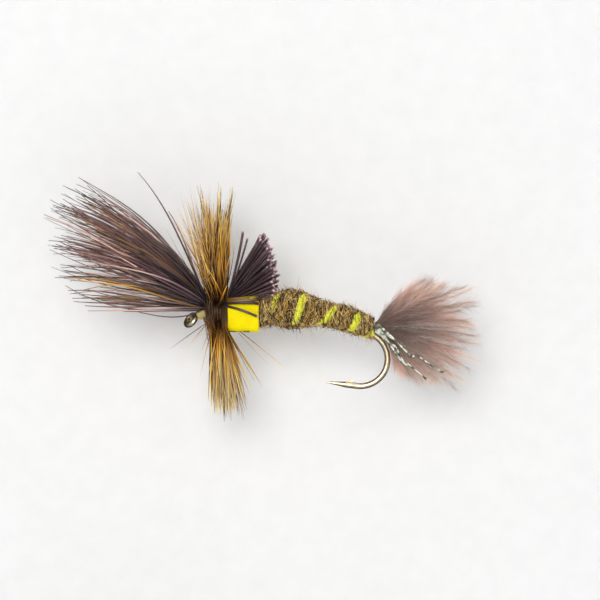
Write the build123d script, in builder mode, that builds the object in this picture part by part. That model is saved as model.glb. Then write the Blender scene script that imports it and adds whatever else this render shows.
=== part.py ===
"""A dry fly of the cripple kind, tied on a long-shank hook with a turned-down eye.

Millimetres. +X runs from the hook's eye to the tail, +Z is up, and the origin is the centre
of the eye. The pieces are made from the hook outwards, and each one is cut back to those
that it is wound on. Bundles of fibres are closed solids of the bundles' outer shapes.
"""

from build123d import *

import os
from math import asin, cos, radians, sin, tan

os.makedirs("parts", exist_ok=True)

# Hook, bent from one wire
wire_r = 0.30
eye_ring_r = 0.62  # to the middle of the wire
eye_wire_r = 0.27  # the wire is drawn a little thinner round the eye
eye_bore_r = 0.41
eye_turn = 48.0  # how far the ring hangs down from the X axis, in degrees
eye_twist = 28.0  # how far it is turned out of the hook's plane
eye_gap = 10.0  # degrees of the ring left open, where its end comes back to the neck
eye_gap_at = 40.0
shank_climb = 10.1  # the shank leaves the eye climbing, and humps over in one long arc
shank_radius = 31.9
shank_arc = 32.1
bend_radius = 2.73
bend_arc = 165.2
spear_length = 3.3
point_length = 2.2
point_r = 0.03
barb_back = 2.85  # from the point to the barb's tip
barb_run = 1.1
barb_lift = 0.35
barb_thick = 0.14

# Windings on the shank: from and to in X, and radius
thread_base_x = (1.75, 17.75)
thread_base_r = 0.36
tag_x = (17.5, 17.95)
tag_r = 0.50
wraps_x = (1.75, 3.50)
wraps_r = 1.00
core_x = (3.55, 7.0)
core_r = 0.95

# Bodies along the shank: X, radius, and rise of the centre over the shank
head_sections = [
    (0.60, 0.36, 0.0),
    (0.90, 0.50, 0.02),
    (1.30, 0.55, 0.0),
    (1.68, 0.50, -0.05),
]
tail_butt_sections = [
    (9.0, 0.30, 0.35),
    (13.0, 0.42, 0.45),
    (17.3, 0.36, 0.48),
]
abdomen_sections = [
    (7.05, 1.80, 0.05),
    (9.5, 1.83, 0.38),
    (12.0, 1.42, 0.46),
    (14.0, 1.12, 0.54),
    (15.5, 1.16, 0.60),
    (16.8, 1.02, 0.56),
    (17.5, 0.99, 0.54),
]

# Rib, spiralled over the abdomen
rib_r = 0.20
rib_under = [7.4, 9.95, 12.3, 15.5]  # X where each turn passes under the body
rib_over = [8.6, 11.25, 14.3, 16.5]  # and over it, next on the near side
rib_points = 4  # points on the body for each half turn
rib_proud = 0.06  # its middle lies this far out of the body

# Foam thorax, a strip closed round the core
foam_x = (3.65, 6.80)
foam_r = 1.85
foam_centre_z = 0.60
foam_slit = 0.40
foam_round = 0.30

# Wing hair: the tips lean forward over the eye, and the clipped butts lean back
tips = {"apex": (2.10, 1.05), "slope": 153.0, "half_angle": 18.0, "root": 0.9, "length": 17.0}
butts = {"apex": (3.45, 1.60), "slope": 41.0, "half_angle": 24.0, "root": 0.9, "length": 6.3}

# Hackle, wound round the wing's tie-in
hackle_x = 2.60
stem_r = 0.09
stem_wind_r = 1.12
stem_turns = 4
stem_pitch = 0.28
barb_root_r = 1.25
barb_root_half = 0.70
barb_flare = 9.0
barb_reach = 13.0
hackle_half_width = 8.5
hackle_half_height = 11.6
hackle_rise = 1.2

# Tail, of marabou, with two strands of flash down each side
tail_root = (18.5, -0.60)
tail_root_half = 0.30
tail_spread = 0.30  # half-width gained for each millimetre back from the root
tail_half_max = 2.6
tail_end_x = 30.0  # past the marabou's tips
bend_clear = 0.67  # from the middle of the bend's wire to the marabou
beside_bend = (57.0, -20.0)  # where the marabou follows the bend, in degrees about its centre
plume_outline = [  # X and Z, from over the root round the end to beside the bend
    (20.6, 1.7),
    (22.6, 3.5),
    (25.6, 4.3),
    (27.9, 2.9),
    (28.8, -0.6),
    (28.6, -3.8),
    (26.4, -6.3),
    (23.4, -6.5),
]
flash_r = 0.08
near = -1
far = 1
flash_routes = {  # side, then points as X, distance to that side, and Z
    "flash_near_low": (near, [(18.7, 0.5, -0.75), (19.8, 1.15, -2.3), (21.4, 1.55, -4.1), (23.4, 2.15, -6.0)]),
    "flash_near_high": (near, [(18.8, 0.5, -0.55), (20.4, 1.2, -2.0), (22.3, 1.8, -3.4), (24.9, 2.6, -5.2)]),
    "flash_far_low": (far, [(18.7, 0.5, -0.75), (19.9, 1.15, -2.0), (21.6, 1.6, -3.5), (24.2, 2.35, -5.0)]),
    "flash_far_high": (far, [(18.8, 0.5, -0.5), (20.6, 1.2, -1.2), (22.8, 1.95, -1.9), (25.8, 2.85, -3.0)]),
}
flash_curve_r = 6.0


def save(piece, name):
    """Label a finished piece and write its file."""
    piece.part.label = name
    export_step(piece.part, f"parts/{name}.step")


def toward(angle):
    """Unit vector in the side plane, in degrees from +X towards +Z."""
    return Vector(cos(radians(angle)), 0, sin(radians(angle)))


# ---- hook ----
neck = toward(eye_turn)
eye_line = Axis((0, 0, 0), toward(eye_turn + 90).rotate(Axis((0, 0, 0), neck), eye_twist))
ring_start = neck.rotate(eye_line, eye_gap / 2 - eye_gap_at)
shank_start = neck * eye_ring_r

with BuildPart() as hook:
    with BuildLine(Plane.XZ):
        shank = JernArc(
            (shank_start.X, shank_start.Z),
            (cos(radians(shank_climb)), sin(radians(shank_climb))),
            shank_radius,
            -shank_arc,
        )
        bend = JernArc(shank @ 1, shank % 1, bend_radius, -bend_arc)
        spear_end = bend @ 1 + (bend % 1) * (spear_length - point_length)
        Line(bend @ 1, spear_end)
    with BuildSketch(Plane(origin=shank @ 0, z_dir=shank % 0)):
        Circle(wire_r)
    sweep()
    forward = bend % 1
    inward = Vector(forward.Z, 0, -forward.X)
    tip = spear_end + forward * point_length
    with BuildSketch(Plane(origin=spear_end, z_dir=forward)):
        Circle(wire_r)
    with BuildSketch(Plane(origin=tip, z_dir=forward)):
        Circle(point_r)
    loft()
    barb_tip = tip - forward * barb_back + inward * (wire_r + barb_lift)
    barb_front = tip - forward * (barb_back - barb_run)
    barb_rear = tip - forward * (barb_back - barb_thick)
    with BuildSketch(Plane.XZ):
        with BuildLine():
            Polyline([(p.X, p.Z) for p in (barb_tip, barb_front, barb_rear)], close=True)
        make_face()
    extrude(amount=barb_thick / 2, both=True)
    ring_plane = Plane(origin=ring_start * eye_ring_r, z_dir=eye_line.direction.cross(ring_start))
    with BuildSketch(ring_plane):
        Circle(eye_wire_r)
    revolve(axis=eye_line, revolution_arc=360 - eye_gap)
    with Locations(shank_start):
        Sphere(wire_r)
    with Locations(Plane(origin=(0, 0, 0), z_dir=eye_line.direction)):
        Cylinder(eye_bore_r, 4 * eye_wire_r, mode=Mode.SUBTRACT)
save(hook, "hook")

bend_down = Vector((shank % 1).Z, 0, -(shank % 1).X)
bend_centre = shank @ 1 + bend_down * bend_radius


def along(x):
    """Fraction of the shank's length at a given X."""
    climb = radians(shank_climb)
    return (climb - asin(sin(climb) - (x - shank_start.X) / shank_radius)) / radians(shank_arc)


def across(x):
    """Plane across the shank at a given X, its own x along +Y and its own y upwards."""
    return Plane(origin=shank @ along(x), x_dir=(0, 1, 0), z_dir=shank % along(x))


def wound(x_range, radius):
    """A round winding along the shank, still solid where the hook runs through it."""
    start, end = x_range
    with BuildPart(mode=Mode.PRIVATE) as winding:
        with BuildLine():
            add(shank.trim(along(start), along(end)))
        with BuildSketch(across(start)):
            Circle(radius)
        sweep()
    return winding.part


def lofted(sections):
    """A smooth body along the shank through round sections."""
    with BuildPart(mode=Mode.PRIVATE) as body:
        for x, radius, rise in sections:
            with BuildSketch(across(x)):
                with Locations((0, rise)):
                    Circle(radius)
        loft()
    return body.part


def fan(apex, slope, half_angle, root, length):
    """A bundle of fibres that spreads from its root in a cone, with a domed end."""
    middle = Axis((apex[0], 0, apex[1]), toward(slope))
    edge = Vector(cos(radians(half_angle)), sin(radians(half_angle)))
    with BuildPart(mode=Mode.PRIVATE) as bundle:
        with BuildSketch(Plane(origin=middle.position, x_dir=middle.direction, z_dir=(0, -1, 0))):
            with BuildLine():
                rim = edge * length
                Polyline((length, 0), (root, 0), (root, root * tan(radians(half_angle))), rim)
                TangentArc(rim, (length, 0), tangent=(edge.Y, -edge.X))
            make_face()
        revolve(axis=middle)
    return bundle.part


def cut_back_to(*inner):
    """Take the pieces that the present one is wound on out of it."""
    for piece in inner:
        add(piece.part, mode=Mode.SUBTRACT)


def on_body(x, turn):
    """Middle of the rib on the abdomen at X, so many degrees round from underneath to the near side."""
    spans = zip(abdomen_sections, abdomen_sections[1:])
    (x0, r0, rise0), (x1, r1, rise1) = next(span for span in spans if x <= span[1][0])
    share = (x - x0) / (x1 - x0)
    radius = r0 + share * (r1 - r0) + rib_proud
    rise = rise0 + share * (rise1 - rise0)
    turn = radians(turn)
    return across(x).from_local_coords((-radius * sin(turn), rise - radius * cos(turn), 0))


def half_turn(start, end, side):
    """Half a turn from a point over or under the body to the next, round the side given."""
    bulge = Vector(0, side * (end - start).length / 2, 0)
    return ThreePointArc(start, (start + end) * 0.5 + bulge, end)


# ---- thread on the hook ----
with BuildPart() as thread_base:
    add(wound(thread_base_x, thread_base_r))
    cut_back_to(hook)
save(thread_base, "thread_base")

with BuildPart() as tail_butts:
    add(lofted(tail_butt_sections))
    cut_back_to(thread_base, hook)
save(tail_butts, "tail_butts")

with BuildPart() as tag_thread:
    add(wound(tag_x, tag_r))
    cut_back_to(thread_base, hook)
save(tag_thread, "tag_thread")

with BuildPart() as wing_wraps:
    add(wound(wraps_x, wraps_r))
    cut_back_to(thread_base, hook)
save(wing_wraps, "wing_wraps")

with BuildPart() as head_thread:
    add(lofted(head_sections))
    cut_back_to(hook)
save(head_thread, "head_thread")

# ---- body ----
with BuildPart() as abdomen_dubbing:
    add(lofted(abdomen_sections))
    cut_back_to(tail_butts, thread_base, hook)
save(abdomen_dubbing, "abdomen_dubbing")

with BuildPart() as rib:
    stations = [x for pair in zip(rib_under, rib_over) for x in pair]
    route = [on_body(stations[0], 0)]
    for half, (start, end) in enumerate(zip(stations, stations[1:])):
        for step in range(1, rib_points + 1):
            share = step / rib_points
            route.append(on_body(start + share * (end - start), 180 * (half + share)))
    with BuildLine() as rib_line:
        Spline(*route)
    with BuildSketch(Plane(origin=rib_line.line @ 0, z_dir=rib_line.line % 0)):
        Circle(rib_r)
    sweep()
save(rib, "rib")

with BuildPart() as thorax_core:
    add(wound(core_x, core_r))
    cut_back_to(thread_base, hook)
save(thorax_core, "thorax_core")

with BuildPart() as foam_thorax:
    with BuildSketch(Plane.YZ.offset(foam_x[0])):
        with Locations((0, foam_centre_z)):
            Circle(foam_r)
        with Locations((0, foam_centre_z - foam_r)):
            Rectangle(foam_slit, 2 * foam_r, mode=Mode.SUBTRACT)
    extrude(amount=foam_x[1] - foam_x[0])
    fillet(foam_thorax.edges().filter_by(GeomType.CIRCLE), foam_round)
    cut_back_to(thorax_core, thread_base, hook)
save(foam_thorax, "foam_thorax")

# ---- wing ----
with BuildPart() as wing_butts:
    add(fan(**butts))
    cut_back_to(foam_thorax, thorax_core)
save(wing_butts, "wing_butts")

with BuildPart() as wing_hair:
    add(fan(**tips))
save(wing_hair, "wing_hair")

# ---- hackle ----
hackle_plane = across(hackle_x)
hackle_line = Axis(hackle_plane.origin, hackle_plane.z_dir)

with BuildPart() as hackle_stem:
    with BuildLine():
        for step in range(2 * stem_turns):
            side = 1 if step % 2 else -1
            shift = (step - stem_turns) * stem_pitch / 2
            half_turn(
                hackle_plane.from_local_coords((0, side * stem_wind_r, shift)),
                hackle_plane.from_local_coords((0, -side * stem_wind_r, shift + stem_pitch / 2)),
                side,
            )
    first = hackle_plane.from_local_coords((0, -stem_wind_r, -stem_turns * stem_pitch / 2))
    with BuildSketch(Plane(origin=first, z_dir=(0, -1, 0))):
        Circle(stem_r)
    sweep()
save(hackle_stem, "hackle_stem")

with BuildPart() as hackle_barbs:
    flared_half = barb_root_half + (barb_reach - barb_root_r) * tan(radians(barb_flare))
    with BuildSketch(Plane(origin=hackle_plane.origin, x_dir=hackle_plane.z_dir, z_dir=(0, -1, 0))):
        with BuildLine():
            Polyline(
                (-barb_root_half, barb_root_r),
                (barb_root_half, barb_root_r),
                (flared_half, barb_reach),
                (-flared_half, barb_reach),
                close=True,
            )
        make_face()
    revolve(axis=hackle_line)
    with BuildSketch(hackle_plane.offset(-flared_half)):
        with Locations((0, hackle_rise)):
            Ellipse(hackle_half_width, hackle_half_height)
    extrude(amount=2 * flared_half, mode=Mode.INTERSECT)
save(hackle_barbs, "hackle_barbs")

# ---- tail ----
with BuildPart() as tail_plume:
    root_x, root_z = tail_root
    with BuildSketch(Plane.XZ):
        with BuildLine():
            start_angle, end_angle = beside_bend
            beside_r = bend_radius + bend_clear
            beside = CenterArc((bend_centre.X, bend_centre.Z), beside_r, end_angle, start_angle - end_angle)
            high_root = Vector(root_x, root_z + tail_root_half)
            Line(beside @ 1, high_root)
            Spline(high_root, *plume_outline, beside @ 0)
        make_face()
    extrude(amount=tail_half_max, both=True)
    wide_x = root_x + (tail_half_max - tail_root_half) / tail_spread
    with BuildSketch(Plane.XY):
        with BuildLine():
            Polyline(
                (root_x, 0),
                (root_x, tail_root_half),
                (wide_x, tail_half_max),
                (tail_end_x, tail_half_max),
                (tail_end_x, 0),
                close=True,
            )
        make_face()
        mirror(about=Plane.XZ)
    extrude(amount=hackle_half_height, both=True, mode=Mode.INTERSECT)
save(tail_plume, "tail_plume")

for name, (side, route) in flash_routes.items():
    points = [Vector(x, side * y, z) for x, y, z in route]
    with BuildPart() as strand:
        with BuildLine() as strand_line:
            FilletPolyline(*points, radius=flash_curve_r)
        with BuildSketch(Plane(origin=points[0], z_dir=points[1] - points[0])):
            Circle(flash_r)
        sweep()
    save(strand, name)
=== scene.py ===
"""Looks of the dry fly: hair, feather, fur, foam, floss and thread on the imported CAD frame.

Lengths are millimetres in this file until a mesh is made. +X runs from the hook's eye to the
tail, +Z is up, and the camera looks along +Y. Every random draw is seeded.
"""

from math import cos, pi, radians, sin

import bpy
import numpy as np
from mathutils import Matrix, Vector, noise
from mathutils.bvhtree import BVHTree


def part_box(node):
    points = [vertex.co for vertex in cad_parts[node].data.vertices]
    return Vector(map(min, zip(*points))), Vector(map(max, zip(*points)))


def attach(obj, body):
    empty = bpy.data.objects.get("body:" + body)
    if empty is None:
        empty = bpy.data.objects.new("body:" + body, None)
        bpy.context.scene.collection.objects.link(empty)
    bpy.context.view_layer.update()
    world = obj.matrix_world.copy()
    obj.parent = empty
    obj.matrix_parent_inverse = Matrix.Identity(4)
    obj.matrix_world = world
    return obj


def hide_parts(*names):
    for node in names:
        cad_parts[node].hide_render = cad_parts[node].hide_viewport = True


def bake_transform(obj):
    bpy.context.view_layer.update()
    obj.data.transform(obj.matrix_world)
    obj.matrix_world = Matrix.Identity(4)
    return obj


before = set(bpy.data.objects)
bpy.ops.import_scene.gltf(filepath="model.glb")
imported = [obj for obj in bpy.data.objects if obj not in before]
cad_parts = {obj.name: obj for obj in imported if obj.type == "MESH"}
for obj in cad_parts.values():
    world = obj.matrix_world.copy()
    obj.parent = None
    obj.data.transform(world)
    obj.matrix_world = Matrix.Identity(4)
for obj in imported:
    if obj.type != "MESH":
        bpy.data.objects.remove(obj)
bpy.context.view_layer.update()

MM = 0.001
draw = np.random.default_rng(11)
uniform = draw.uniform
normal = draw.normal

# Camera and studio
view_width = 60.0  # across the picture, at the fly
view_centre = (10.9, 0.0, 2.0)
camera_away = 400.0
camera_height = 2.0  # degrees above the fly's side plane
backdrop_y = 10.6
floor_z = -33.0
room = 900.0
lights = [  # name, place, size, power and colour
    ("key", (-45, -410, 100), 190, 0.89, (1.0, 0.985, 0.96)),
    ("rim", (60, -40, 330), 120, 0.25, (0.97, 0.98, 1.0)),
]
dome_front = 0.54
dome_back = 0.04
dome_fade = (-0.9, 0.2)  # along Y, from the front's light to the back's
dome_colour = (0.95, 0.97, 1.0, 1.0)


# ---- frame ----
def corners(node):
    """Lowest and highest corner of a CAD node, in millimetres."""
    return [np.array(corner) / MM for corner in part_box(node)]


def node_points(node):
    """The vertices of a CAD node, in millimetres."""
    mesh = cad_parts[node].data
    flat = np.empty(len(mesh.vertices) * 3)
    mesh.vertices.foreach_get("co", flat)
    return flat.reshape(-1, 3) / MM


winding = node_points("thread_base")
shank_fit = np.polyfit(winding[:, 0], winding[:, 2], 4)


def shank_z(x):
    """Height of the shank's centre line at X."""
    return np.polyval(shank_fit, x)


def shank_slope(x):
    """Rise of the shank's centre line for each millimetre of X."""
    return np.polyval(np.polyder(shank_fit), x)


# ---- materials ----
def srgb(*colour):
    """Linear colour of a screen colour given from 0 to 255."""
    parts = [c / 255 for c in colour]
    return tuple(p / 12.92 if p <= 0.04045 else ((p + 0.055) / 1.055) ** 2.4 for p in parts) + (1.0,)


def add_node(tree, kind, inputs=None, **settings):
    """A new node, with its settings and its inputs set or linked."""
    node = tree.nodes.new("ShaderNode" + kind)
    for name, value in settings.items():
        setattr(node, name, value)
    for name, value in (inputs or {}).items():
        if isinstance(value, bpy.types.NodeSocket):
            tree.links.new(value, node.inputs[name])
        else:
            node.inputs[name].default_value = value
    return node


class Look:
    """A node material being put together round one Principled shader."""

    def __init__(self, name, roughness, specular, metallic=0.0, sheen=0.0, coat=0.0):
        self.material = bpy.data.materials.new(name)
        self.material.use_nodes = True
        self.tree = self.material.node_tree
        self.shader = self.tree.nodes["Principled BSDF"]
        settings = {
            "Roughness": roughness, "Specular IOR Level": specular, "Metallic": metallic,
            "Sheen Weight": sheen, "Coat Weight": coat,
        }
        for socket, value in settings.items():
            self.shader.inputs[socket].default_value = value

    def add(self, kind, inputs=None, **settings):
        return add_node(self.tree, kind, inputs, **settings)

    def attribute(self, name):
        """A value stored on the mesh's points."""
        return self.add("Attribute", attribute_name=name).outputs["Fac"]

    def place(self, scale=(1, 1, 1)):
        """Position in the row frame, in millimetres, stretched by scale."""
        position = self.add("NewGeometry").outputs["Position"]
        inputs = {"Vector": position, "Scale": [s / MM for s in scale]}
        return self.add("Mapping", inputs).outputs["Vector"]

    def noise(self, scale, stretch=(1, 1, 1), detail=3.0):
        """Noise with features of about 1/scale millimetres."""
        inputs = {"Vector": self.place(stretch), "Scale": scale, "Detail": detail}
        return self.add("TexNoise", inputs).outputs["Fac"]

    def ramp(self, source, stops):
        """Colour read by a value from a list of places, each with its red, green and blue."""
        node = self.add("ValToRGB", {"Fac": source})
        marks = node.color_ramp.elements
        while len(marks) < len(stops):
            marks.new(1.0)
        for mark, (where, *colour) in zip(marks, stops):
            mark.position = where
            mark.color = srgb(*colour)
        return node.outputs["Color"]

    def mix(self, blend, amount, first, second):
        """Two colours mixed in a blend mode."""
        node = self.add("Mix", {0: amount, 6: first, 7: second}, data_type="RGBA", blend_type=blend)
        return node.outputs[2]

    def spread(self, source, low, high):
        """A value from 0 to 1 spread between low and high."""
        return self.add("MapRange", {"Value": source, "To Min": low, "To Max": high}).outputs["Result"]

    def shaded(self, colour, source, low, high):
        """A colour multiplied by low to high, by a value."""
        value = self.spread(source, low, high)
        grey = self.add("CombineColor", {"Red": value, "Green": value, "Blue": value}).outputs["Color"]
        return self.mix("MULTIPLY", 1.0, colour, grey)

    def colour(self, source):
        self.tree.links.new(source, self.shader.inputs["Base Color"])

    def roughness(self, source, low, high):
        self.tree.links.new(self.spread(source, low, high), self.shader.inputs["Roughness"])

    def bump(self, height, depth, strength=1.0):
        """Relief of about depth millimetres."""
        node = self.add("Bump", {"Height": height, "Distance": depth * MM, "Strength": strength})
        self.tree.links.new(node.outputs["Normal"], self.shader.inputs["Normal"])


def fibre_look(name, stops, variation, others=(), **settings):
    """Fibres coloured along their length, lighter and darker from one to the next.

    others lists the shares of the fibres that have other colours instead.
    """
    look = Look(name, **settings)
    along = look.attribute("along")
    kind = look.attribute("kind")
    colour = look.ramp(along, stops)
    limit = 1.0
    for share, other_stops in others:
        limit -= share
        pick = look.add("Math", {0: kind, 1: limit}, operation="GREATER_THAN").outputs[0]
        kind = look.add("Math", {0: kind, 1: pick}, operation="SUBTRACT").outputs[0]
        colour = look.mix("MIX", pick, colour, look.ramp(along, other_stops))
    colour = look.shaded(colour, look.attribute("tint"), *variation)
    streak = look.noise(9.0, detail=2.0)
    look.colour(look.shaded(colour, streak, 0.88, 1.12))
    rough = look.shader.inputs["Roughness"].default_value
    look.roughness(streak, rough - 0.08, rough + 0.12)
    return look.material


# ---- meshes ----
def placed(name, data):
    """A new object in the scene."""
    piece = bpy.data.objects.new(name, data)
    bpy.context.scene.collection.objects.link(piece)
    return piece


def store(mesh, name, values):
    """A value on each of a mesh's points."""
    data = mesh.attributes.new(name, "FLOAT", "POINT").data
    data.foreach_set("value", np.asarray(values, dtype=np.float32))


def mesh_piece(name, points, faces, material, slot, **attributes):
    """A piece from points in millimetres, faces, and values stored on the points."""
    mesh = bpy.data.meshes.new(name)
    mesh.from_pydata((np.reshape(points, (-1, 3)) * MM).tolist(), [], faces)
    for key, values in attributes.items():
        store(mesh, key, values)
    mesh.polygons.foreach_set("use_smooth", [True] * len(mesh.polygons))
    mesh.materials.append(material)
    mesh.validate()
    mesh.update()
    piece = placed(name, mesh)
    return piece


def ring_walls(count, rows, around):
    """The numbers of the points of so many tubes' rings, and the faces between the rings."""
    index = np.arange(count * rows * around).reshape(count, rows, around)
    after = np.roll(index, -1, axis=2)
    walls = np.stack([index[:, :-1], after[:, :-1], after[:, 1:], index[:, 1:]], axis=-1)
    return index, walls.reshape(-1, 4).tolist()


def tube_faces(count, rows, around):
    """The faces of tubes made of rings, with their ends filled."""
    index, walls = ring_walls(count, rows, around)
    return walls + index[:, 0, ::-1].tolist() + index[:, -1].tolist()


def xyz(x, y, z):
    """Points or vectors from their parts."""
    return np.stack(np.broadcast_arrays(x, y, z), axis=-1)


def unit(vectors):
    """Vectors along the last axis, brought to length 1."""
    return vectors / np.maximum(np.linalg.norm(vectors, axis=-1, keepdims=True), 1e-9)


def fibres(
    name, paths, radius, material, slot,
    sides=4, flat=1.0, twist=0.0, kind=None, tint=None, last=1.0,
):
    """Closed tubes along many paths of equally many points, joined into one piece.

    paths is (fibres, points, 3) and radius is (fibres, points) or one value for each point.
    flat squeezes the section, and twist turns it along the path, in radians. kind picks each
    fibre's colours and tint its lightness, from 0 to 1, drawn if not given.
    last is the place in the list of colours that each fibre's tip has.
    """
    paths = np.asarray(paths, dtype=float)
    count, steps = paths.shape[:2]
    radius = np.broadcast_to(radius, (count, steps))
    tangent = unit(np.gradient(paths, axis=1))
    hint = unit(normal(size=(count, 1, 3)))
    across = unit(np.cross(tangent, np.broadcast_to(hint, paths.shape)))
    upward = np.cross(tangent, across)
    turn = np.arange(sides) * 2 * pi / sides + np.broadcast_to(twist, (count, steps))[..., None]
    ring = np.cos(turn)[..., None] * across[:, :, None] + flat * np.sin(turn)[..., None] * upward[:, :, None]
    points = paths[:, :, None] + ring * radius[:, :, None, None]
    along = np.linspace(0, 1, steps) * np.broadcast_to(last, count)[:, None]
    return mesh_piece(
        name, points, tube_faces(count, steps, sides), material, slot,
        along=np.repeat(along.ravel(), sides),
        tint=np.repeat(draw.random(count) if tint is None else tint, steps * sides),
        kind=np.repeat(draw.random(count) if kind is None else kind, steps * sides),
    )


def headings(angle, side):
    """Unit vectors at an angle from +X towards +Z, swung out to +Y by side, both in degrees."""
    a, b = np.radians(angle), np.radians(side)
    return xyz(np.cos(a) * np.cos(b), np.sin(b), np.sin(a) * np.cos(b))


def grown(base, directions, length):
    """Paths that leave base and follow directions, (fibres, points, 3), for the given lengths."""
    steps = directions.shape[1] - 1
    middle = unit(directions[:, 1:] + directions[:, :-1])
    stride = middle * (np.asarray(length) / steps)[:, None, None]
    start = np.asarray(base)[:, None, :]
    return np.concatenate([start, start + np.cumsum(stride, axis=1)], axis=1)


def between(first, last, steps, ease=1.0):
    """Values that go from first to last along a fibre, for many fibres."""
    first, last = np.asarray(first)[:, None], np.asarray(last)[:, None]
    return first + (last - first) * np.linspace(0, 1, steps) ** ease


def swung(first, last, steps):
    """Unit vectors that turn from first to last along a fibre, for many fibres."""
    share = np.linspace(0, 1, steps)[:, None]
    return unit(first[:, None] * (1 - share) + last[:, None] * share)


def round_shank(x, turn, radius, rise=0.0):
    """Points at a radius about the shank, turn radians from the top towards the camera."""
    return xyz(x, -np.sin(turn) * radius, shank_z(x) + rise + np.cos(turn) * radius)


def dip(where, width):
    """A smooth bell, 1 high, round where = 0."""
    return np.exp(-((where / width) ** 2))


def evenly(values, steps):
    """Values read at even steps along a list of them."""
    return np.interp(np.linspace(0, 1, steps), np.linspace(0, 1, len(values)), values)


def taper(steps, root, tip, swell=0.0, ease=1.0):
    """Relative thickness along a fibre."""
    share = np.linspace(0, 1, steps)
    return root + (tip - root) * share**ease + swell * np.sin(pi * share)


# ---- wing ----
# A hair's spread runs from 0 for the lowest hair to 1 for the highest. Angles are in degrees.
wing_hairs = 240
wing_crowd = 0.6  # share of the hairs that crowd the upper part
wing_part = 0.62  # how much of the spread each group of hairs takes
wing_depth = 9.0  # deviation of the swing to the sides
wing_locks = 44  # places that tips are drawn to
wing_lock_swing = 45  # swing to the sides that counts like the whole spread
wing_drawn = 0.75  # share of the hairs that are drawn to one
wing_pull = (0.3, 0.85)  # how far they are drawn
wing_rise = (-1, 50)  # of the lowest hair, and what the highest has more
wing_curl = (6, 25, 12)  # the same, and the deviation
wing_wave = 3.2
wing_shorter = 0.6  # share of the hairs that are shorter
wing_short = (0.6, 0.95)  # how short
wing_reach = [(0, 12.2), (0.1, 13.6), (0.25, 15.2), (0.36, 16.6), (0.56, 18.3), (1, 18.8)]  # by spread
wing_foot_x = (1.3, 1.9)
wing_radius = (0.045, 0.105)
wing_pale_part = 0.34  # of the spread: pale and golden hairs lie low
wing_strays = [  # hairs that lie apart from the wing
    [(1.9, -0.6, 1.5), (0.9, -0.9, 3.2), (-1.1, -1.2, 8.6), (-2.9, -1.4, 11.3), (-5.2, -1.6, 14.8)],
    [(1.9, -0.5, 1.6), (1.0, -0.8, 3.4), (-0.7, -1.0, 8.0), (-2.2, -1.2, 10.9)],
    [(1.3, -0.7, 1.2), (-0.1, -0.9, 0.55), (-3.5, -1.2, 0.5), (-7.0, -1.3, 1.3)],
    [(1.4, -0.4, 1.3), (-3.0, -0.9, 1.6), (-8.0, -1.4, 2.3), (-11.7, -1.8, 2.7)],
    [(1.4, 0.4, 1.3), (-4.0, 0.7, 0.9), (-8.2, 0.9, 1.5), (-12.6, 1.1, 3.4)],
]
butt_hairs = 130
butt_angle = (13, 62)
butt_length = (5.3, 3.0)  # of the lowest hair, and what the highest has more
butt_depth = 8.5
butt_radius = (0.09, 0.13)
butts_apart = [
    [(3.4, -0.9, 1.5), (4.6, -1.3, 5.6), (5.25, -1.5, 9.0)],
    [(3.5, -0.7, 1.6), (4.8, -1.1, 5.2), (5.7, -1.3, 8.3)],
    [(2.9, -1.15, 1.50), (4.1, -1.86, 1.33), (6.70, -2.06, 0.40)],
    [(2.9, -1.30, 1.60), (4.0, -1.88, 1.74), (6.90, -1.95, 1.72)],
]
thick_butts = 2  # the last of those
thick_butt_radius = 0.14
foam_shade_hairs = 11  # darkened golden hairs along the foam's top edge: painted shade, a band standing in for the butts' shadow on the foam
foam_shade_hair_radius = 0.05
hair_stops = [
    (0.0, 30, 22, 28), (0.1, 66, 48, 58), (0.25, 74, 54, 61), (0.45, 95, 67, 68), (0.66, 124, 90, 84),
    (0.86, 132, 96, 88), (0.95, 92, 62, 58), (1.0, 34, 22, 22),
]
# Pale hairs, brightest at mid-length: partly the hair's own pale colour, partly a painted highlight along
# each hair.
pale_and_glint_hair_stops = [
    (0.0, 56, 42, 48), (0.3, 134, 108, 106), (0.6, 214, 178, 164), (0.85, 186, 144, 130),
    (1.0, 80, 56, 50),
]
golden_hair_stops = [(0.0, 66, 42, 8), (0.4, 150, 108, 40), (0.8, 200, 158, 92), (1.0, 90, 66, 46)]
# The last stop paints each cut end pale: the hair's pale pith, with a painted highlight on it.
butt_stops = [
    (0.0, 32, 20, 24), (0.3, 48, 30, 36), (0.7, 61, 40, 46), (0.96, 74, 48, 54), (1.0, 222, 184, 190),
]


def threaded(points, steps):
    """A smooth path of equal steps through a few points."""
    points = np.asarray(points, dtype=float)
    reach = np.concatenate([[0], np.cumsum(np.linalg.norm(np.diff(points, axis=0), axis=1))])
    share = np.linspace(0, reach[-1], steps)
    degree = min(3, len(points) - 1)
    return np.stack([np.polyval(np.polyfit(reach, line, degree), share) for line in points.T], axis=-1)


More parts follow.
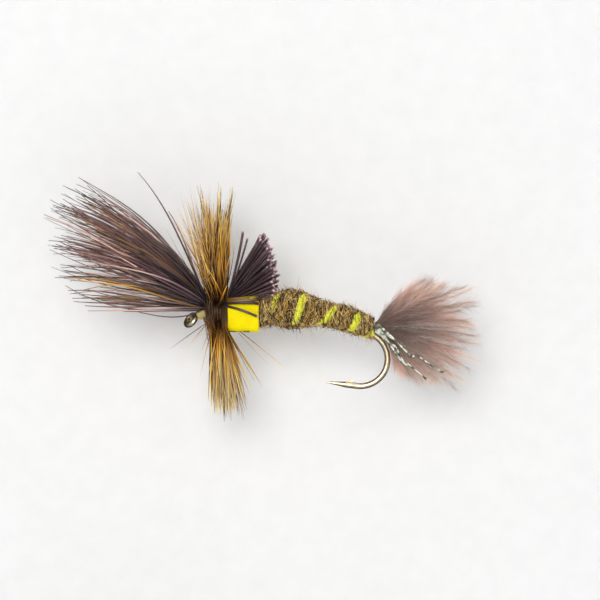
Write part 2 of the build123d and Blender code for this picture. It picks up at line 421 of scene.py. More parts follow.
def wing_hair():
    """The hair's tips: they leave the thread steeply and curl forward over the eye."""
    count, steps = wing_hairs, 16
    crowd = draw.random(count) < wing_crowd
    upper = draw.beta(3.0, 2.0, count) * wing_part + 1 - wing_part
    spread = np.where(crowd, upper, draw.beta(1.3, 1.0, count) * wing_part)
    side = normal(0, wing_depth, count)
    lock_spread = draw.beta(1.4, 1.1, wing_locks)
    lock_side = normal(0, wing_depth, wing_locks)
    away = (lock_spread[:, None] - spread) ** 2 + ((lock_side[:, None] - side) / wing_lock_swing) ** 2
    nearest = np.argmin(away, axis=0)
    pull = np.where(draw.random(count) < wing_drawn, uniform(*wing_pull, count), 0.0)
    end_spread = spread + pull * (lock_spread[nearest] - spread)
    end_side = side + pull * (lock_side[nearest] - side)
    rise = wing_rise[0] + wing_rise[1] * end_spread + normal(0, 1.0, count)
    curl = wing_curl[0] + wing_curl[1] * end_spread + normal(0, wing_curl[2], count)
    length = np.interp(end_spread, *np.array(wing_reach).T)
    length *= np.clip(normal(0.95, 0.05, count), 0.8, 1.01)
    length *= np.where(draw.random(count) < wing_shorter, uniform(*wing_short, count), 1.0)
    base = xyz(
        uniform(*wing_foot_x, count),
        side / wing_depth * 0.32 + normal(0, 0.15, count),
        1.10 + 0.62 * spread + normal(0, 0.10, count),
    )
    angle = 180 - between(rise + curl * 0.5, rise - curl * 0.6, steps, 0.9)
    sideways = between(side * 0.6, 0.4 * side + 0.9 * end_side, steps)
    wave = normal(0, wing_wave, (count, 1))
    wave = wave * np.sin(np.linspace(0, 2 * pi, steps) + uniform(0, 6, (count, 1)))
    paths = grown(base, headings(angle + wave, sideways), length)
    strays = [threaded(points, steps) for points in wing_strays]
    paths = np.concatenate([paths, strays])
    thickness = uniform(*wing_radius, len(paths))[:, None] * taper(steps, 1.05, 0.3, 0.1, 2.6)
    kind = draw.random(len(paths))
    low_hair = np.append(spread < wing_pale_part, [False] * len(strays))
    kind = np.where(low_hair, 1 - kind * 0.45, kind)
    tint = draw.random(len(paths))
    kind[count] = 0.0  # the first stray is a dark hair
    tint[count] = 0.3
    look = fibre_look(
        "deer_hair", hair_stops, (0.15, 1.95), [(0.24, pale_and_glint_hair_stops), (0.08, golden_hair_stops)],
        roughness=0.3, specular=0.8,
    )
    piece = fibres("wing_hair_tips", paths, thickness, look, "deer_hair", sides=5, kind=kind, tint=tint)
    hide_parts("wing_hair")
    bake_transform(piece)


def wing_butts():
    """The hair's butts, clipped along an arc over the thorax, a few that lie apart, and fine darkened hairs
    along the foam's top edge that paint the butts' shadow there.
    """
    count, steps = butt_hairs, 7
    angle = uniform(*butt_angle, count)
    share = (angle - butt_angle[0]) / (butt_angle[1] - butt_angle[0])
    length = butt_length[0] + butt_length[1] * share**1.3 + normal(0, 0.15, count)
    side = normal(0, butt_depth, count)
    base = xyz(uniform(2.9, 3.4, count), side / butt_depth * 0.45, uniform(1.3, 1.75, count))
    turn = between(angle, angle + normal(0, 2, count), steps)
    paths = grown(base, headings(turn, between(side * 0.6, side * 1.2, steps)), length)
    apart = list(butts_apart)
    # Fine hairs along the foam's top edge: painted shade, a dark golden band for the butts' shadow on the
    # foam.
    for _ in range(foam_shade_hairs):
        z = uniform(1.86, 2.25)
        x = uniform(4.6, 7.2)
        end = (x, -1.72 - uniform(0, 0.1), z + normal(0, 0.12))
        apart.append([(3.0, -1.0, z - 0.1), (3.8, -1.80, z), end])
    paths = np.concatenate([paths, [threaded(points, steps) for points in apart]])
    thickness = uniform(*butt_radius, len(paths))[:, None] * np.ones(steps)
    thickness[-thick_butts - foam_shade_hairs:-foam_shade_hairs] = thick_butt_radius
    thickness[-foam_shade_hairs:] = foam_shade_hair_radius
    kind = np.zeros(len(paths))
    kind[-foam_shade_hairs:] = 1.0
    tint = draw.random(len(paths))
    # Those hairs are darkened further: painted shade.
    tint[-foam_shade_hairs:] *= 0.4
    look = fibre_look(
        "clipped_hair", butt_stops, (0.45, 1.7), [(0.5, golden_hair_stops)], roughness=0.32, specular=0.7
    )
    piece = fibres("wing_butt_hairs", paths, thickness, look, "deer_hair", sides=6, kind=kind, tint=tint)
    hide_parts("wing_butts")
    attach(piece, "fly")


# ---- hackle ----
hackle_barbs = 960
over_until = 0.50  # share of the barbs in the fan over the fly
under_until = 0.82  # and of those with the fan under it; the rest stand all round
over_turn = (0, 24)  # degrees round the shank from the top, and the deviation
under_turn = (180, 20)
round_turn = (-65, 245)
core_share = 0.7  # of the upper fan, whose tips gather over the windings
core_tip_x = (1.3, 3.95)
front_tip_x = 1.9  # the other tips lie in front of this
tip_height = 9.5
spike_x = np.array([1.05, 2.8, 3.9])  # where the tallest barbs' tips gather
spike_share = 0.88  # of the full length, for those
swirl_barbs = 110
webby_radius = (0.05, 0.12)
fine_barb_radius = 0.045
stray_barb_radius = 0.04
barb_length = (11.2, 7.7)  # the length of barb that the colours are spread over, over and under the fly; the shorter one under it carries those barbs further into the pale stops, painted light on the shaded underside
barb_stops = [
    (0.0, 40, 25, 6), (0.2, 80, 50, 12), (0.36, 160, 106, 28), (0.5, 234, 168, 58),
    (0.66, 250, 200, 86), (1.0, 255, 228, 156),
]
dark_barb_stops = [(0.0, 38, 22, 6), (0.6, 86, 50, 20), (1.0, 112, 70, 42)]
pink_barb_stops = [(0.0, 100, 70, 44), (0.4, 178, 136, 100), (1.0, 222, 188, 164)]
stray_barbs = [  # angle from +X towards +Z, and length
    (-39, 9.0), (-47, 7.4), (-56, 6.0), (-62, 7.8), (-113, 4.3), (-102, 4.2), (-143, 6.0), (-128, 5.0),
]


def swirl(middle, steps):
    """Barbs that part round the middle of the windings, from the upper fan to the lower."""
    count = swirl_barbs
    out = draw.choice([-1.0, 1.0], count) * uniform(0.45, 1.1, count)
    depth = uniform(1.3, 1.75, count)
    start = [middle + out * uniform(0.2, 1.2, count), -0.7 * depth, uniform(1.7, 3.6, count)]
    waist = [middle + out, -depth, uniform(0.1, 1.1, count)]
    end = [middle + out * uniform(0, 0.9, count) + 0.2, -0.9 * depth, uniform(-3.6, -1.3, count)]
    return np.array([threaded(points, steps) for points in np.array([start, waist, end]).transpose(2, 0, 1)])


def hackle():
    """The barbs of the wound hackle, longest over the fly and shorter under it."""
    low, high = corners("hackle_barbs")
    stem_low, stem_high = corners("hackle_stem")
    middle = (stem_low[0] + stem_high[0]) / 2
    count, steps = hackle_barbs, 12
    group = draw.random(count)
    over = group < over_until
    under = ~over & (group < under_until)
    turns = [normal(*over_turn, count), normal(*under_turn, count)]
    turn = np.radians(np.select([over, under], turns, uniform(*round_turn, count)))
    slope = np.arctan(shank_slope(middle))
    axis = np.array([cos(slope), 0, sin(slope)])
    up = np.array([-sin(slope), 0, cos(slope)])
    shift = uniform(-1.0, 1.0, count) * np.where(over, 1.0, 0.75)
    upright = np.cos(turn)
    outward = upright[:, None] * up + np.sin(turn)[:, None] * np.array([0, 1, 0])
    base = np.array([middle, 0, shank_z(middle)]) + shift[:, None] * axis + outward
    height = np.where(upright > 0, high[2] - base[:, 2], base[:, 2] - low[2])
    reach = 1 / np.hypot(upright / height, np.sin(turn) / high[1])

    core = draw.random(count) < core_share
    short = normal(0.76, 0.08, count)
    share = np.where(draw.random(count) < 0.2, uniform(0.85, 1.04, count), short)
    share = np.where(over & ~core, draw.beta(3.2, 1.5, count) * 0.62 + 0.42, share)
    share = np.where(over, share, normal(0.92, 0.08, count))
    length = reach * np.clip(share, 0.35, 1.05)
    tip_x = np.where(core, uniform(*core_tip_x, count), front_tip_x - draw.gamma(1.6, 0.95, count))
    tall = over & core & (share > spike_share)
    spike = spike_x[np.argmin(np.abs(tip_x[:, None] - spike_x), axis=1)]
    tip_x = np.where(tall, spike + 0.2 * (tip_x - spike), tip_x)
    over_lean = np.degrees(slope + np.arctan((tip_x - base[:, 0]) / tip_height))
    under_lean = shift * 2 - 5.5 + draw.gamma(2.2, 2.8, count)
    lean = np.select([over, under], [over_lean, under_lean], normal(0, 7, count))
    curl = normal(0, 1, count) * np.where(over & core, 2.5, 6.0)
    tilt = np.radians(between(lean - curl / 2, lean + curl / 2, steps))
    directions = unit(np.cos(tilt)[..., None] * outward[:, None] + np.sin(tilt)[..., None] * axis)
    paths = grown(base, directions, length)

    angles, lengths = np.array(stray_barbs).T
    start = [middle, -0.8, shank_z(middle)] + normal(0, 0.2, (len(angles), 3))
    turned = between(angles + normal(0, 4, len(angles)), angles, steps)
    strays = grown(start, headings(turned, -6.0), lengths)
    paths = np.concatenate([paths, strays, swirl(middle, steps)])
    parted = slice(count + len(strays), None)
    thickness = np.full(len(paths), stray_barb_radius)
    thickness[:count] = np.where(over & core | under, uniform(*webby_radius, count), fine_barb_radius)
    thickness = thickness[:, None] * taper(steps, 0.9, 0.10, 0.35, 2.0)
    look = fibre_look(
        "hackle_barb", barb_stops, (0.42, 1.45), [(0.15, dark_barb_stops), (0.14, pink_barb_stops)],
        roughness=0.4, specular=0.4,
    )
    kind = draw.random(len(paths))
    kind[:count][over & ~core & (draw.random(count) < 0.4)] = 0.75  # pinkish
    kind[:count][tall & (kind[:count] > 0.6)] = 0.9  # dark
    last = np.full(len(paths), 0.7)
    last[:count] = length / np.where(over, *barb_length)
    last[parted] = 0.45
    tint = draw.random(len(paths))
    tint[parted] *= 0.9
    piece = fibres(
        "hackle_barb_fibres", paths, thickness, look, "hackle",
        sides=5, flat=0.4, kind=kind, tint=tint, last=last,
    )
    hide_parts("hackle_barbs")
    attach(piece, "fly")


# ---- abdomen ----
abdomen_low, abdomen_high = corners("abdomen_dubbing")
abdomen_faces = [p.vertices[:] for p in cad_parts["abdomen_dubbing"].data.polygons]
abdomen_tree = BVHTree.FromPolygons(node_points("abdomen_dubbing").tolist(), abdomen_faces)
abdomen_x = (abdomen_low[0] + 0.3, abdomen_high[0] - 0.3)  # where its radius is measured
far_out = 6.0
thread_radius = 0.36  # round the bare shank
fur_inset = 0.10  # from the body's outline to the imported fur
fur_lumps = [(0.16, 1.3), (0.09, 5.0)]  # height, and how many to a millimetre
fur_rounding = 0.25  # length of the rounded ends
loose_count = 5400
loose_length = (0.5, 1.7)
loose_radius = (0.014, 0.06)
guard_count = 2000
guard_radius = (0.010, 0.022)
guard_front = 0.16  # share of the guard hairs at the body's front end
guard_back = 0.08


def abdomen_radius(x, turn):
    """Radius of the abdomen about the shank at X, turn radians from the top towards the camera."""
    centre = Vector((x, 0, float(shank_z(x))))
    outward = Vector((0, -sin(turn), cos(turn)))
    hit = abdomen_tree.ray_cast(centre + outward * far_out, -outward)[0]
    return max((hit - centre).dot(outward), thread_radius) if hit else thread_radius


grid_x = np.linspace(*abdomen_x, 40)
grid_turn = np.linspace(0, 2 * pi, 37)
grid_radius = np.array([[abdomen_radius(x, t) for t in grid_turn] for x in grid_x])


def body_radius(x, turn):
    """The abdomen's radius read from a grid of measured places, for arrays."""
    rows, columns = grid_radius.shape
    row = np.clip((x - grid_x[0]) / (grid_x[-1] - grid_x[0]) * (rows - 1), 0, rows - 1.001)
    column = np.minimum(np.mod(turn, 2 * pi) / (2 * pi) * (columns - 1), columns - 1.001)
    i = row.astype(int)
    j = column.astype(int)
    u = row - i
    v = column - j
    near = grid_radius[i, j] * (1 - u) + grid_radius[i + 1, j] * u
    far = grid_radius[i, j + 1] * (1 - u) + grid_radius[i + 1, j + 1] * u
    return near * (1 - v) + far * v


def on_body(x, turn, proud=0.0):
    """Points on the abdomen, raised by proud."""
    return round_shank(x, turn, body_radius(x, turn) + proud)


dub_stops = [
    (0.0, 36, 18, 4), (0.3, 90, 54, 14), (0.5, 160, 112, 38), (0.72, 234, 186, 84),
    (1.0, 255, 240, 168),
]
guard_stops = [(0.0, 150, 112, 60), (0.5, 216, 172, 116), (1.0, 236, 204, 164)]


def dubbing_look():
    """Fur of mixed browns: each fibre has one place in the mix, with fine mottling."""
    look = Look("fur_fibre", roughness=0.75, specular=0.25, sheen=0.1)
    colour = look.ramp(look.attribute("tint"), dub_stops)
    look.colour(look.shaded(colour, look.noise(1.6), 0.3, 1.7))
    return look.material


def fur_ground_look():
    """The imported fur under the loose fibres."""
    look = Look("fur_ground", roughness=0.85, specular=0.15, sheen=0.25)
    strands = look.noise(14.0, (0.35, 1, 1), 4.0)
    colour = look.ramp(strands, [
        (0.3, 46, 30, 10), (0.5, 110, 82, 32), (0.68, 168, 132, 66), (0.8, 206, 170, 104),
    ])
    look.colour(colour)
    look.bump(strands, 0.12)
    return look.material


def packed_fur():
    """The body under its loose fibres, with lumps and rounded ends."""
    rows, around = 170, 150
    x = np.linspace(abdomen_low[0], abdomen_high[0] - 0.1, rows)
    turn = np.linspace(0, 2 * pi, around, endpoint=False)
    xs, turns = np.meshgrid(x, turn, indexing="ij")
    smooth = on_body(xs, turns, -fur_inset).reshape(-1, 3)
    lumps = [sum(height * noise.noise(Vector(p) * fine) for height, fine in fur_lumps) for p in smooth]
    end = np.minimum(x - x[0], x[-1] - x) / fur_rounding
    rounding = np.sqrt(np.clip(1 - (1 - np.clip(end, 0, 1)) ** 2, 0.02, 1))
    radius = body_radius(xs, turns) - fur_inset + np.reshape(lumps, (rows, around))
    rings = round_shank(xs, turns, radius * (0.55 + 0.45 * rounding[:, None]))
    core = mesh_piece("abdomen_fur", rings, tube_faces(1, rows, around), fur_ground_look(), "dubbing")
    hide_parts("abdomen_dubbing")
    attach(core, "fly")


def loose_fur():
    """Fibres that lie round the body."""
    count, steps = loose_count, 5
    x = uniform(abdomen_low[0] + 0.1, abdomen_high[0] - 0.1, count)
    turn = uniform(0, 2 * pi, count)
    length = uniform(*loose_length, count)
    tilt = normal(0, 0.55, count)
    share = np.linspace(0, 1, steps)
    xs = x[:, None] + (length * np.sin(tilt))[:, None] * share
    turned = length * np.cos(tilt) / body_radius(x, turn) * draw.choice([-1, 1], count)
    turns = turn[:, None] + turned[:, None] * share
    lift = draw.gamma(1.3, 0.10, count)[:, None] * share**1.5 + uniform(-0.06, 0.06, count)[:, None]
    paths = on_body(np.clip(xs, abdomen_low[0], abdomen_high[0] + 0.3), turns, lift)
    thickness = uniform(*loose_radius, count)[:, None] * taper(steps, 0.8, 0.3, 0.3)
    mixed = draw.beta(0.7, 0.8, count)
    fur = fibres("abdomen_loose_fur", paths, thickness, dubbing_look(), "dubbing", sides=3, tint=mixed)
    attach(fur, "fly")


def guard_hairs():
    """Stiffer hairs that stand out of the fur, many of them at its ends."""
    count, steps = guard_count, 5
    x = uniform(abdomen_low[0], abdomen_high[0], count)
    x = np.where(draw.random(count) < guard_front, abdomen_low[0] + uniform(-0.1, 0.4, count), x)
    x = np.where(draw.random(count) < guard_back, abdomen_high[0] - uniform(0.0, 0.5, count), x)
    turn = uniform(0, 2 * pi, count)
    base = on_body(x, turn, -0.08)
    outward = xyz(0.0, -np.sin(turn), np.cos(turn))
    round_body = xyz(0.0, -np.cos(turn), -np.sin(turn))
    first = outward * uniform(0.15, 1.0, (count, 1)) + round_body * normal(0, 1, (count, 1))
    first = unit(first + [0.5, 0, 0] * normal(0.3, 1, (count, 1)))
    last = unit(first + normal(0, 0.5, (count, 3)))
    short = draw.random(count) < 0.45
    length = np.where(short, uniform(0.3, 0.6, count), draw.gamma(3.2, 0.25, count))
    paths = grown(base, swung(first, last, steps), length)
    thickness = uniform(*guard_radius, count)[:, None] * taper(steps, 1.0, 0.3)
    tan_fur = fibre_look("guard_fur", guard_stops, (0.5, 1.3), roughness=0.6, specular=0.3, sheen=0.2)
    guard = fibres("abdomen_guard_hairs", paths, thickness, tan_fur, "dubbing", sides=3)
    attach(guard, "fly")


# ---- rib and tag ----
rib_strands = 7
rib_band = 0.6
rib_radius = 0.07
rib_buried = 6.95  # the half turn, counted from the tail, that lies under the fur
rib_x = [17.0, 15.35, 14.75, 12.15, 11.6, 9.8, 8.85, 7.2]  # over, under, over and so on, from the tail
tag_strands = 3
tag_turns = 6
tag_coil_r = 0.44
tag_rise = 0.14  # of the coil's middle over the shank's
rib_end_strands = 6
rib_end_x = 15.4


def floss_look():
    """Bright flat floss with its filaments showing."""
    look = Look("floss", roughness=0.4, specular=0.5, sheen=0.15)
    streak = look.noise(7.0)
    colour = look.ramp(streak, [(0.3, 226, 240, 4), (0.55, 248, 255, 30), (0.75, 255, 255, 140)])
    look.colour(look.shaded(colour, look.attribute("tint"), 0.86, 1.15))
    look.bump(streak, 0.02)
    return look.material


def rib(look):
    """Strands of floss side by side, spiralled over the fur."""
    turn = np.linspace(0, (len(rib_x) - 1) * pi, 190)
    half_turns = turn / pi
    x = np.interp(half_turns, np.arange(len(rib_x)), rib_x)
    sunk = 0.28 * dip(half_turns - rib_buried, 0.6)
    sunk += 0.16 * dip((half_turns + 1) % 2 - 1, 0.16)  # on top
    sunk += 0.26 * dip(half_turns % 2 - 1, 0.27)  # underneath
    paths = []
    for strand in range(rib_strands):
        offset = (strand / (rib_strands - 1) - 0.5) * rib_band
        wander = 0.03 * np.sin(turn * 1.7 + strand)
        proud = 0.14 - 0.10 * (2 * offset / rib_band) ** 2 - sunk
        paths.append(on_body(x + offset + wander, turn, proud))
    piece = fibres("rib_floss", paths, rib_radius, look, "rib_floss", sides=6, flat=0.8)
    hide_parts("rib")
    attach(piece, "fly")


def tag(look):
    """Turns of the same floss, and the rib's end laid forward under the fur's edge."""
    low, high = corners("tag_thread")
    steps = tag_turns * 20
    turn = np.linspace(0, tag_turns * 2 * pi, steps)
    x = np.linspace(low[0] + 0.15, high[0] + 0.1, steps)
    paths = []
    for strand in range(tag_strands):
        xs = x + strand * 0.05
        bulge = tag_coil_r + 0.03 * np.sin(turn * 0.37 + 2.1 * strand)
        slope = np.arctan(shank_slope(xs))
        paths.append(xyz(
            xs - np.sin(slope) * np.cos(turn) * bulge,
            -np.sin(turn) * bulge,
            shank_z(xs) + tag_rise + np.cos(slope) * np.cos(turn) * bulge,
        ))
    along = np.linspace(0, 1, steps)
    for strand in range(rib_end_strands):
        xs = rib_end_x + along * (low[0] + 0.45 - rib_end_x)
        paths.append(on_body(xs, pi * (1.02 - 0.055 * strand * along), 0.02 + 0.14 * along))
    piece = fibres("tag_floss", paths, 0.06, look, "rib_floss", sides=6)
    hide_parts("tag_thread")
    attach(piece, "fly")


# ---- foam ----
foam_wall = 0.75
foam_slit = 0.10  # radians from the middle of the underside to either edge
foam_square = 4.2  # how square the strip is seen from its end


def foam_look():
    """Closed-cell foam: fine dimples and a faint unevenness in the yellow."""
    look = Look("foam", roughness=0.7, specular=0.12)
    glow = {"Weight": 0.15, "Radius": (0.6 * MM, 0.4 * MM, 0.1 * MM), "Scale": 1.0}
    for socket, value in glow.items():
        look.shader.inputs["Subsurface " + socket].default_value = value
    cells = look.add("TexVoronoi", {"Vector": look.place(), "Scale": 11.0}).outputs["Distance"]
    tone = look.noise(1.5)
    colour = look.ramp(tone, [(0.3, 254, 226, 0), (0.7, 255, 238, 0)])
    look.colour(look.shaded(colour, cells, 0.96, 1.03))
    look.bump(cells, 0.015, 0.6)
    return look.material


def foam():
    """A foam strip closed round the thorax: flat sides, pinched by thread in front."""
    low, high = corners("foam_thorax")
    middle = (low[2] + high[2]) / 2
    half = (high[2] - low[2]) / 2
    rows, around = 40, 120
    turn = np.linspace(pi + foam_slit, 3 * pi - foam_slit, around)
    shape = (np.abs(np.sin(turn)) ** foam_square + np.abs(np.cos(turn)) ** foam_square) ** (-1 / foam_square)
    out_and_back = np.concatenate([turn, turn[::-1]])
    x = np.linspace(low[0], high[0], rows)
    end = np.clip(np.minimum(x - x[0], x[-1] - x) / 0.16, 0, 1)
    soft = 1 - 0.07 * (1 - np.sqrt(1 - (1 - end) ** 2))
    outer = half * 0.985 * soft * (1 - 0.06 * dip(x - x[0], 0.35))
    rings = []
    for place, radius in zip(x, outer):
        dents = np.array([noise.noise(Vector((place * 0.9, t * 1.4, 3.0))) for t in turn])
        skin = radius * shape * 0.985 + 0.012 * dents
        reach = np.concatenate([skin, (skin - foam_wall)[::-1]])
        rings.append(xyz(place, -np.sin(out_and_back) * reach, middle + np.cos(out_and_back) * reach))
    piece = mesh_piece("foam_strip", rings, strip_faces(rows, 2 * around), foam_look(), "foam")
    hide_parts("foam_thorax")
    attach(piece, "fly")


def strip_faces(rows, around):
    """The faces of a closed strip whose rings run along its outer skin and back along its lining."""
    index, faces = ring_walls(1, rows, around)
    for row, order in ((0, -1), (rows - 1, 1)):
        for j in range(around // 2 - 1):
            quad = index[0, row, [j, j + 1, around - 2 - j, around - 1 - j]]
            faces.append(quad[::order].tolist())
    return faces


# ---- thread ----
head_strands = 18  # pale ones that hang from the head


def thread_look(name, dark, light):
    """Waxed thread with its twist."""
    look = Look(name, roughness=0.45, specular=0.4, coat=0.15)
    twist = look.noise(16.0, detail=2.0)
    look.colour(look.ramp(twist, [(0.3, *dark), (0.7, *light)]))
    look.bump(twist, 0.012)
    return look.material


def coil(name, start, end, radius, drop, thread_r, material, slot):
    """Close turns of thread from start to end in X, over a body whose radius follows a list."""
    turns = abs(end - start) / (thread_r * 1.7)
    steps = int(turns * 22)
    turn = np.linspace(0, turns * 2 * pi, steps)
    x = np.linspace(start, end, steps)
    over = evenly(radius, steps) + 0.02 * np.sin(turn * 0.31) + 0.015 * np.sin(turn * 0.83 + 1)
    path = round_shank(x, turn, over, evenly(drop, steps))
    return fibres(name, [path], thread_r, material, slot, sides=6)


def threads():
    """The pale head, the near-black wraps under the hackle, partly painted shade, and the base along the
    shank.
    """
    pale = thread_look("pale_thread", (162, 146, 78), (228, 214, 142))
    # The dark thread's colour is near black: partly the thread's own dark colour, partly painted shade for
    # the shadowed middle of the hackle.
    dark = thread_look("dark_thread", (26, 17, 7), (68, 47, 22))
    low, high = corners("head_thread")
    head = coil(
        "head_wraps", low[0] + 0.06, high[0] - 0.08, [0.33, 0.47, 0.53, 0.54, 0.49],
        [0.0, 0.02, 0.0, -0.02, -0.05], 0.05, pale, "head_thread",
    )
    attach(head, "fly")
    low, high = corners("wing_wraps")
    wraps = coil(
        "wing_wrap_turns", low[0] + 0.1, high[0] - 0.1, [0.9, 1.0, 0.98], [0, 0, 0], 0.05, dark, "dark_thread"
    )
    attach(wraps, "fly")
    # Two short dark dashes along the foam's lower front edge, in the dark thread's material.
    nicks = [[(x, -1.30, -1.10), (x + 0.3, -1.36, -1.12), (x + 0.62, -1.30, -1.10)] for x in (3.9, 5.25)]
    edge_dashes = fibres("foam_edge_dark_dashes", [threaded(n, 5) for n in nicks], 0.05, dark, "dark_thread")
    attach(edge_dashes, "fly")
    tie = coil("foam_tie_turns", 6.86, 7.0, [1.60, 1.66, 1.60], [0, 0.02, 0], 0.04, dark, "dark_thread")
    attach(tie, "fly")
    loose = []
    for _ in range(head_strands):
        z = uniform(-0.1, 0.3)
        y = -uniform(0.5, 1.1)
        end = (2.0 + normal(0, 0.14), y - 0.7, uniform(-4.4, -1.2))
        loose.append(threaded([(1.3, y * 0.7, z), (1.62, y - 0.3, z - 0.55), end], 9))
    tan_fur = fibre_look("tan_fibre", guard_stops, (0.6, 1.2), roughness=0.5, specular=0.4)
    thickness = uniform(0.03, 0.055, (head_strands, 1)) * taper(9, 1.0, 0.4)
    strands = fibres("head_loose_strands", loose, thickness, tan_fur, "hackle")
    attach(strands, "fly")
    repaint("head_thread", pale)
    repaint("wing_wraps", dark)
    repaint("thread_base", dark)


def repaint(node, material):
    """Give a CAD node that stays in view another material."""
    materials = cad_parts[node].data.materials
    materials.clear()
    materials.append(material)


# ---- hook and small CAD nodes ----
def hook_look():
    """Bronzed wire: bright, with fine drawing lines and slightly uneven lacquer."""
    look = Look("bronzed_wire", roughness=0.2, specular=0.5, metallic=1.0)
    lines = look.noise(22.0, (0.15, 1, 0.15), 2.0)
    patches = look.noise(0.8)
    colour = look.ramp(patches, [(0.3, 240, 216, 174), (0.7, 255, 240, 208)])
    look.colour(look.shaded(colour, lines, 0.9, 1.08))
    look.roughness(lines, 0.16, 0.32)
    look.bump(lines, 0.002, 0.5)
    return look.material


def small_nodes(feather):
    """Materials of the CAD nodes that stay as they are."""
    repaint("hook", hook_look())
    repaint("thorax_core", fur_ground_look())
    repaint("hackle_stem", thread_look("quill", (58, 38, 16), (112, 78, 38)))
    repaint("tail_butts", feather)


# ---- tail ----
plume_barbs = 72
barbules_each = 225
barbule_opening = (8, 44)  # degrees from the barb
barbule_radius = (0.007, 0.014)
plume_root = np.array([18.35, 0.0, -0.55])
bend_centre = (16.95, -3.9)  # X and Z of the hook's bend
bend_clear = 3.07  # the marabou stays this far from there
plume_reach = [  # direction from the root in degrees, and how far the marabou reaches there
    (-70, 4.4), (-62, 5.6), (-46, 8.1), (-38, 10.0), (-14, 10.6), (6, 9.6),
    (16, 10.2), (28, 9.9), (34, 8.7), (40, 7.3), (46, 5.2), (52, 3.2),
]
plume_stops = [(0.0, 124, 98, 88), (0.35, 150, 116, 102), (0.65, 192, 150, 130), (1.0, 214, 172, 150)]
fluff_stops = [
    (0.0, 126, 98, 88), (0.3, 158, 124, 110), (0.5, 202, 166, 152), (0.7, 242, 202, 184),
    (1.0, 255, 230, 214),
]


def fluff_look():
    """Barbules: dark near the tie-in, pale and pinkish towards the tail's end."""
    look = Look("marabou_fluff", roughness=0.7, specular=0.2, sheen=0.4)
    colour = look.shaded(look.ramp(look.attribute("out"), fluff_stops), look.noise(0.9), 0.7, 1.3)
    look.colour(look.shaded(colour, look.attribute("tint"), 0.45, 1.45))
    return look.material


def marabou():
    """Marabou: barbs that fan from the tie-in, each with soft barbules lying towards its tip."""
    count, steps = plume_barbs, 20
    place = (np.arange(count) + uniform(0.1, 0.9, count)) / count
    draw.shuffle(place)
    chord = 47 - 114 * place + normal(0, 1.5, count)
    reach = np.interp(chord, *np.array(plume_reach).T)
    length = reach * np.clip(normal(0.88, 0.12, count), 0.55, 1.04)
    bow = 4 + 0.75 * np.maximum(0, -48 - chord)
    bow += normal(0, 5, count) * np.clip((chord + 62) / 20, 0.1, 1)
    side = normal(0, 7.6, count) * np.where(chord < -22, 0.6, 1.0)
    base = plume_root + normal(0, 1, (count, 3)) * [0.05, 0.13, 0.13]
    rising = between(chord + bow, chord - bow, steps)
    directions = headings(rising, between(side * 0.5, side * 1.3, steps))
    sway = normal(0, 1, (count, 1, 3)) * 0.05 * np.sin(np.linspace(0, 2 * pi, steps))[None, :, None]
    stems = grown(base, unit(directions + sway), length)
    thickness = uniform(0.03, 0.045, count)[:, None] * taper(steps, 1.0, 0.2, 0.0, 0.8)
    look = fibre_look("marabou", plume_stops, (0.7, 1.3), roughness=0.6, specular=0.3, sheen=0.4)
    stem_piece = fibres("marabou_barbs", stems, thickness, look, "marabou", sides=4)
    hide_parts("tail_plume")
    fluff = fluff_look()
    pieces = [stem_piece]
    for half, name in enumerate(("marabou_barbules_even", "marabou_barbules_odd")):
        pieces.append(barbules(name, stems[half::2], fluff))
    for piece in pieces:
        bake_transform(piece)
    return look


def barbules(name, stems, material):
    """The soft barbules of some barbs: short near the root, long and swept along near the tip."""
    barbs, steps = stems.shape[:2]
    each, points = barbules_each, 3
    stations = uniform(0.06, 1.0, (barbs, each)) ** 0.85
    spot = stations * (steps - 1)
    lower = np.minimum(spot.astype(int), steps - 2)
    part = (spot - lower)[..., None]
    rows = np.arange(barbs)[:, None]
    foot = stems[rows, lower] * (1 - part) + stems[rows, lower + 1] * part
    heading = unit(stems[rows, lower + 1] - stems[rows, lower])
    spin = uniform(0, 2 * pi, (barbs, each))
    sideways = unit(np.cross(heading, [0.0, 1.0, 0.0]))
    depthways = np.cross(heading, sideways)
    outward = np.cos(spin)[..., None] * sideways + 0.75 * np.sin(spin)[..., None] * depthways
    opening = np.radians(uniform(*barbule_opening, (barbs, each)))[..., None]
    first = unit(np.cos(opening) * heading + np.sin(opening) * outward)
    last = unit(first + 0.6 * heading + normal(0, 0.22, first.shape))
    long = (0.6 + 1.1 * np.sin(pi * stations**1.2 * 0.9)) * uniform(0.5, 1.35, stations.shape)
    directions = swung(first.reshape(-1, 3), last.reshape(-1, 3), points)
    paths = grown(foot.reshape(-1, 3), directions, long.ravel())
    from_bend = np.linalg.norm(paths[..., [0, 2]] - bend_centre, axis=-1).min(axis=1)
    clear = from_bend > bend_clear
    paths = paths[clear]
    tint = 0.6 * draw.random((barbs, 1)) + 0.4 * draw.random((barbs, each))
    fine = uniform(*barbule_radius, len(paths))[:, None] * taper(points, 1.0, 0.45)
    fluff = fibres(name, paths, fine, material, "marabou", sides=3, tint=tint.ravel()[clear])
    from_root = paths - plume_root
    away = np.linalg.norm(from_root, axis=-1) / 11.0
    slope = np.degrees(np.arctan2(from_root[..., 2], from_root[..., 0]))
    fringe = 0.26 * np.clip(np.abs(slope + 4) / 42, 0, 1) ** 2 * np.clip(away * 3, 0, 1)
    store(fluff.data, "out", np.repeat(np.clip(away + fringe, 0, 1).ravel(), 3))
    return fluff


def flash_look():
    """Pearl tinsel: dark grey-green, with pale flecks painted in as glints."""
    look = Look("pearl_tinsel", roughness=0.22, specular=0.8, metallic=0.2)
    glint_flecks = look.noise(1.7, detail=2.0)
    # Where the noise is high the colour turns near white: painted glints on the tinsel.
    colour = look.ramp(glint_flecks, [
        (0.40, 84, 84, 72), (0.50, 150, 156, 134), (0.54, 226, 236, 206), (0.60, 255, 255, 248),
    ])
    look.colour(colour)
    look.bump(look.noise(5.0), 0.05)
    return look.material


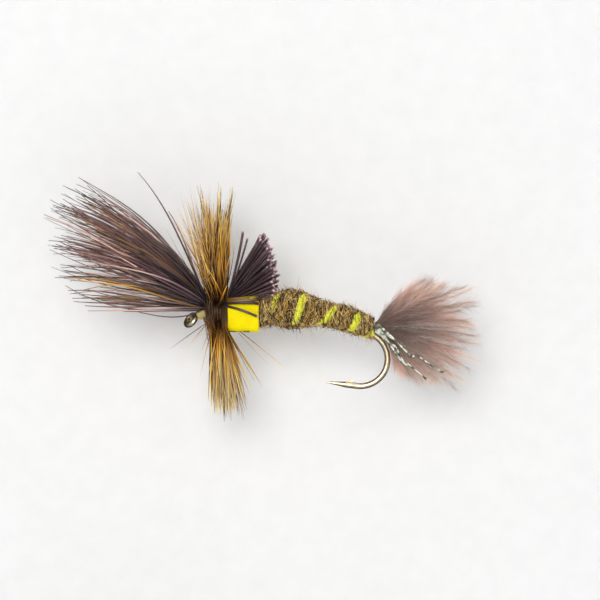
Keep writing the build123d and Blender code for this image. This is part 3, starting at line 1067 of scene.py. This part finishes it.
def flash():
    """Four narrow ribbons of tinsel, twisted, down the sides of the tail."""
    look = flash_look()
    stations, steps = 9, 70
    for name in ("flash_near_low", "flash_near_high", "flash_far_low", "flash_far_high"):
        points = node_points(name)
        cuts = np.linspace(points[:, 0].min(), points[:, 0].max(), stations)
        middles = [points[np.argsort(np.abs(points[:, 0] - cut))[:16]].mean(axis=0) for cut in cuts]
        path = np.stack([evenly(line, steps) for line in np.array(middles).T], axis=-1)
        lead = np.array([18.2, path[0, 1] * 0.7, -0.85])
        path = np.concatenate([np.linspace(lead, path[0], 8)[:-1], path])
        wave = np.linspace(0, 1, len(path))
        path[:, 1] *= 1.3
        strands = []
        for phase, beat in ((0.0, 8), (2.6, 13)):
            depthways = 0.4 * np.sin(wave * 17 + phase)
            crinkle = xyz(np.sin(wave * beat + phase), depthways, np.cos(wave * beat * 0.8 + phase))
            strands.append(path + crinkle * (0.07 + 0.16 * wave)[:, None])
        twist = np.linspace(0, 1, len(path)) * uniform(1.5, 3.5, 2)[:, None] * pi
        width = (0.10 + 0.07 * np.abs(np.sin(wave * 7 + 1))) * (1.05 - 0.5 * wave)
        ribbon = fibres(name + "_ribbon", strands, width, look, "flash", sides=4, flat=0.14, twist=twist)
        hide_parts(name)
        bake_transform(ribbon)


# ---- studio ----
def studio():
    """Camera, plain pale backdrop and floor, and soft lights."""
    scene = bpy.context.scene
    scene.view_settings.view_transform = "Standard"
    data = bpy.data.cameras.new("camera")
    data.lens = data.sensor_width * camera_away / view_width
    data.clip_start = 0.01
    data.clip_end = 10.0
    camera = placed("camera", data)
    height = radians(camera_height)
    back = Vector((0, -cos(height), sin(height)))
    camera.location = (Vector(view_centre) + back * camera_away) * MM
    camera.rotation_euler = back.to_track_quat("Z", "Y").to_euler()
    scene.camera = camera

    paper = Look("paper", roughness=0.9, specular=0.1)
    grain = paper.noise(0.6)
    paper.colour(paper.ramp(grain, [(0.3, 244, 244, 244), (0.7, 247, 247, 247)]))
    wall = plane("backdrop", (-room, backdrop_y, floor_z), (room, backdrop_y, room), one_sided(paper))
    floor = plane("floor", (-room, -room, floor_z), (room, room, floor_z), paper.material)
    for piece in (wall, floor):
        piece.visible_glossy = False
    dome(scene)
    for lamp in lights:
        light(*lamp)


def dome(scene):
    """Soft light from the camera's side that falls off to dark behind the fly."""
    world = bpy.data.worlds.new("studio")
    scene.world = world
    world.use_nodes = True
    tree = world.node_tree
    direction = add_node(tree, "TexCoord").outputs["Generated"]
    split = add_node(tree, "SeparateXYZ", {0: direction})
    fall = add_node(tree, "MapRange", {
        "Value": split.outputs["Y"], "From Min": dome_fade[0], "From Max": dome_fade[1],
        "To Min": dome_front, "To Max": dome_back,
    })
    background = tree.nodes["Background"].inputs
    tree.links.new(fall.outputs["Result"], background["Strength"])
    background["Color"].default_value = dome_colour


def one_sided(look):
    """A copy of a look that can't be seen from behind."""
    material = look.material.copy()
    tree = material.node_tree
    front = tree.nodes["Principled BSDF"].outputs[0]
    clear = add_node(tree, "BsdfTransparent").outputs[0]
    behind = add_node(tree, "NewGeometry").outputs["Backfacing"]
    pick = add_node(tree, "MixShader", {0: behind, 1: front, 2: clear})
    tree.links.new(pick.outputs[0], tree.nodes["Material Output"].inputs["Surface"])
    return material


def plane(name, low, high, material):
    """A flat stage piece from its lowest corner to its highest, in millimetres."""
    points = [low, (high[0], *low[1:]), high, (low[0], *high[1:])]
    mesh = bpy.data.meshes.new(name)
    mesh.from_pydata([tuple(c * MM for c in p) for p in points], [], [(0, 1, 2, 3)])
    mesh.materials.append(material)
    return placed(name, mesh)


def light(name, place, size, power, colour):
    """A square area light aimed at the fly."""
    data = bpy.data.lights.new(name, "AREA")
    data.size = size * MM
    data.energy = power
    data.color = colour
    lamp = placed(name, data)
    lamp.location = Vector(place) * MM
    lamp.rotation_euler = (Vector(place) - Vector(view_centre)).to_track_quat("Z", "Y").to_euler()


studio()
wing_hair()
wing_butts()
hackle()
packed_fur()
loose_fur()
guard_hairs()
floss = floss_look()
rib(floss)
tag(floss)
foam()
threads()
feather = marabou()
flash()
small_nodes(feather)
